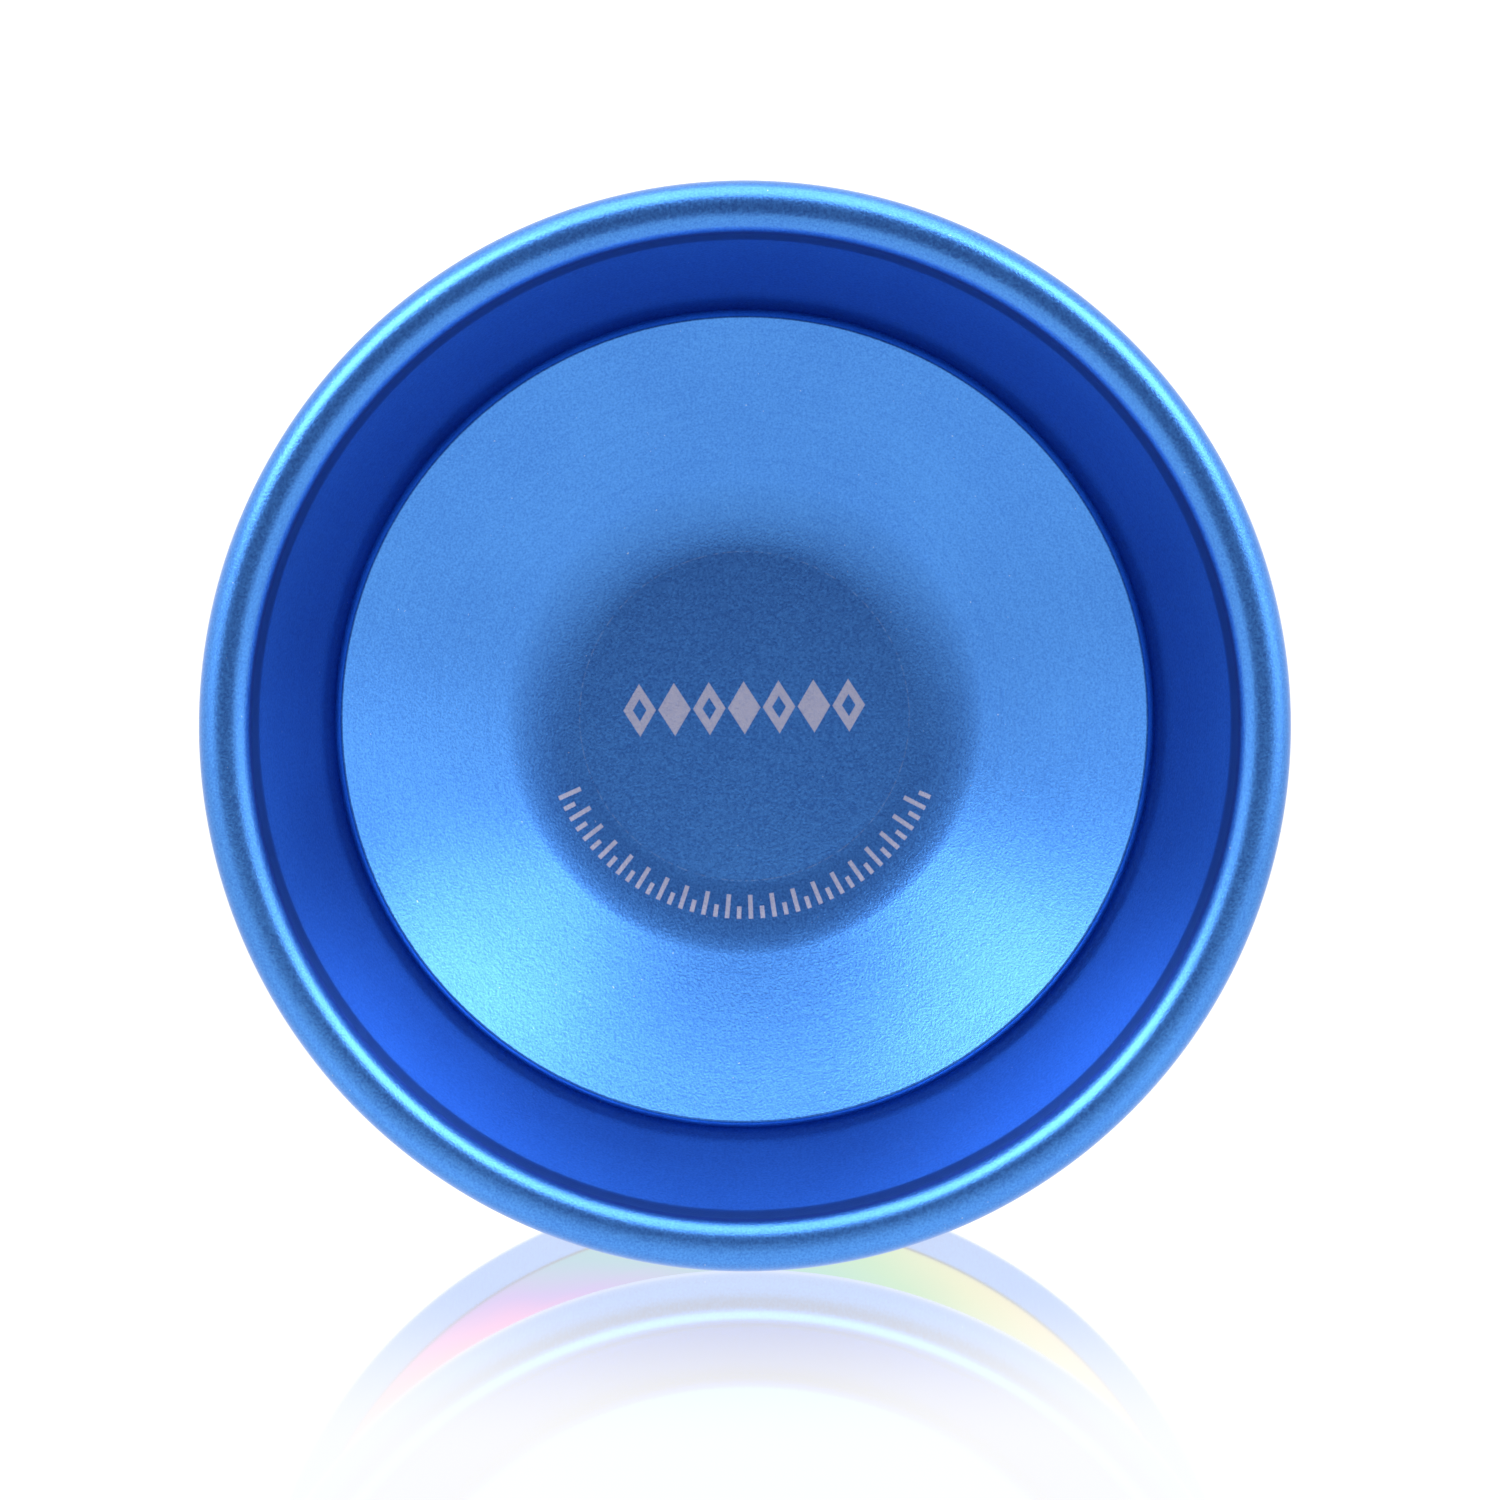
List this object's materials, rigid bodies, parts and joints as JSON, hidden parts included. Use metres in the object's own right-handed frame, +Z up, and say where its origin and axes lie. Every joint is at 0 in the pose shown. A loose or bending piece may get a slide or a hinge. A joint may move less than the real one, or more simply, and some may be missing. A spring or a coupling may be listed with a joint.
{
  "type": "yo-yo",
  "caption": "Metal yo-yo with cupped halves, pressed-in steel weight rings and a spinning ball bearing on a threaded axle.",
  "frame": {"origin": "centre of the bearing, midway between the two rims, on the spin axis", "axes": "+Y along the spin axis towards the rear half, so the front face looks along -Y; +Z up with the yo-yo standing on its rims; +X to the right seen from the front"},
  "size_m": [0.056, 0.046, 0.056],
  "materials": {
    "anodised_body": "bead-blasted, bright blue anodised, satin",
    "weight_ring": "turned stainless steel with a rainbow heat-tint coating",
    "response_pad": "matt silicone",
    "axle_steel": "dark, oiled",
    "bearing_steel": "ground and polished",
    "shield_steel": "pressed sheet",
    "cage_bronze": "pressed strip"
  },
  "bodies": {
    "rear_side": {"rear_half": "anodised_body", "rear_weight_ring": "weight_ring", "rear_response_pad": "response_pad", "axle": "axle_steel", "bearing_inner_race": "bearing_steel"},
    "front_pad": {"front_response_pad": "response_pad"},
    "front_side": {"front_half": "anodised_body", "front_weight_ring": "weight_ring"},
    "outer_race": {"bearing_outer_race": "bearing_steel", "front_shield": "shield_steel", "rear_shield": "shield_steel", "front_snap_ring": "shield_steel", "rear_snap_ring": "shield_steel"},
    "cage": {"ball_cage": "cage_bronze"},
    "ball_1": {"ball_1": "bearing_steel"},
    "ball_2": {"ball_2": "bearing_steel"},
    "ball_3": {"ball_3": "bearing_steel"},
    "ball_4": {"ball_4": "bearing_steel"},
    "ball_5": {"ball_5": "bearing_steel"},
    "ball_6": {"ball_6": "bearing_steel"},
    "ball_7": {"ball_7": "bearing_steel"},
    "ball_8": {"ball_8": "bearing_steel"},
    "ball_9": {"ball_9": "bearing_steel"},
    "ball_10": {"ball_10": "bearing_steel"}
  },
  "joints": [
    {"name": "front_pad_slide", "type": "slide", "parent": "rear_side", "child": "front_pad", "axis": [0, -1, 0], "range_m": [0, 0.0056]},
    {"name": "front_half_unscrew", "type": "hinge", "parent": "front_pad", "child": "front_side", "pos_m": [0, 0, 0], "axis": [0, -1, 0], "range_deg": [0, 2880]},
    {"name": "outer_race_spin", "type": "hinge", "parent": "rear_side", "child": "outer_race", "pos_m": [0, 0, 0], "axis": [0, 1, 0], "continuous": true},
    {"name": "cage_orbit", "type": "hinge", "parent": "rear_side", "child": "cage", "pos_m": [0, 0, 0], "axis": [0, 1, 0], "continuous": true},
    {"name": "ball_1_spin", "type": "hinge", "parent": "cage", "child": "ball_1", "pos_m": [0.00385, 0, 0.0028], "axis": [0, 1, 0], "continuous": true},
    {"name": "ball_2_spin", "type": "hinge", "parent": "cage", "child": "ball_2", "pos_m": [0.00147, 0, 0.00453], "axis": [0, 1, 0], "continuous": true},
    {"name": "ball_3_spin", "type": "hinge", "parent": "cage", "child": "ball_3", "pos_m": [-0.00147, 0, 0.00453], "axis": [0, 1, 0], "continuous": true},
    {"name": "ball_4_spin", "type": "hinge", "parent": "cage", "child": "ball_4", "pos_m": [-0.00385, 0, 0.0028], "axis": [0, 1, 0], "continuous": true},
    {"name": "ball_5_spin", "type": "hinge", "parent": "cage", "child": "ball_5", "pos_m": [-0.00476, 0, 0], "axis": [0, 1, 0], "continuous": true},
    {"name": "ball_6_spin", "type": "hinge", "parent": "cage", "child": "ball_6", "pos_m": [-0.00385, 0, -0.0028], "axis": [0, 1, 0], "continuous": true},
    {"name": "ball_7_spin", "type": "hinge", "parent": "cage", "child": "ball_7", "pos_m": [-0.00147, 0, -0.00453], "axis": [0, 1, 0], "continuous": true},
    {"name": "ball_8_spin", "type": "hinge", "parent": "cage", "child": "ball_8", "pos_m": [0.00147, 0, -0.00453], "axis": [0, 1, 0], "continuous": true},
    {"name": "ball_9_spin", "type": "hinge", "parent": "cage", "child": "ball_9", "pos_m": [0.00385, 0, -0.0028], "axis": [0, 1, 0], "continuous": true},
    {"name": "ball_10_spin", "type": "hinge", "parent": "cage", "child": "ball_10", "pos_m": [0.00476, 0, 0], "axis": [0, 1, 0], "continuous": true}
  ],
  "couplings": [
    {"joint": "front_pad_slide", "follows": "front_half_unscrew", "m_per_rad": 0.00011141},
    {"joint": "cage_orbit", "follows": "outer_race_spin", "ratio": 0.58336},
    {"joint": "ball_1_spin", "follows": "outer_race_spin", "ratio": 2.9157},
    {"joint": "ball_2_spin", "follows": "outer_race_spin", "ratio": 2.9157},
    {"joint": "ball_3_spin", "follows": "outer_race_spin", "ratio": 2.9157},
    {"joint": "ball_4_spin", "follows": "outer_race_spin", "ratio": 2.9157},
    {"joint": "ball_5_spin", "follows": "outer_race_spin", "ratio": 2.9157},
    {"joint": "ball_6_spin", "follows": "outer_race_spin", "ratio": 2.9157},
    {"joint": "ball_7_spin", "follows": "outer_race_spin", "ratio": 2.9157},
    {"joint": "ball_8_spin", "follows": "outer_race_spin", "ratio": 2.9157},
    {"joint": "ball_9_spin", "follows": "outer_race_spin", "ratio": 2.9157},
    {"joint": "ball_10_spin", "follows": "outer_race_spin", "ratio": 2.9157}
  ]
}
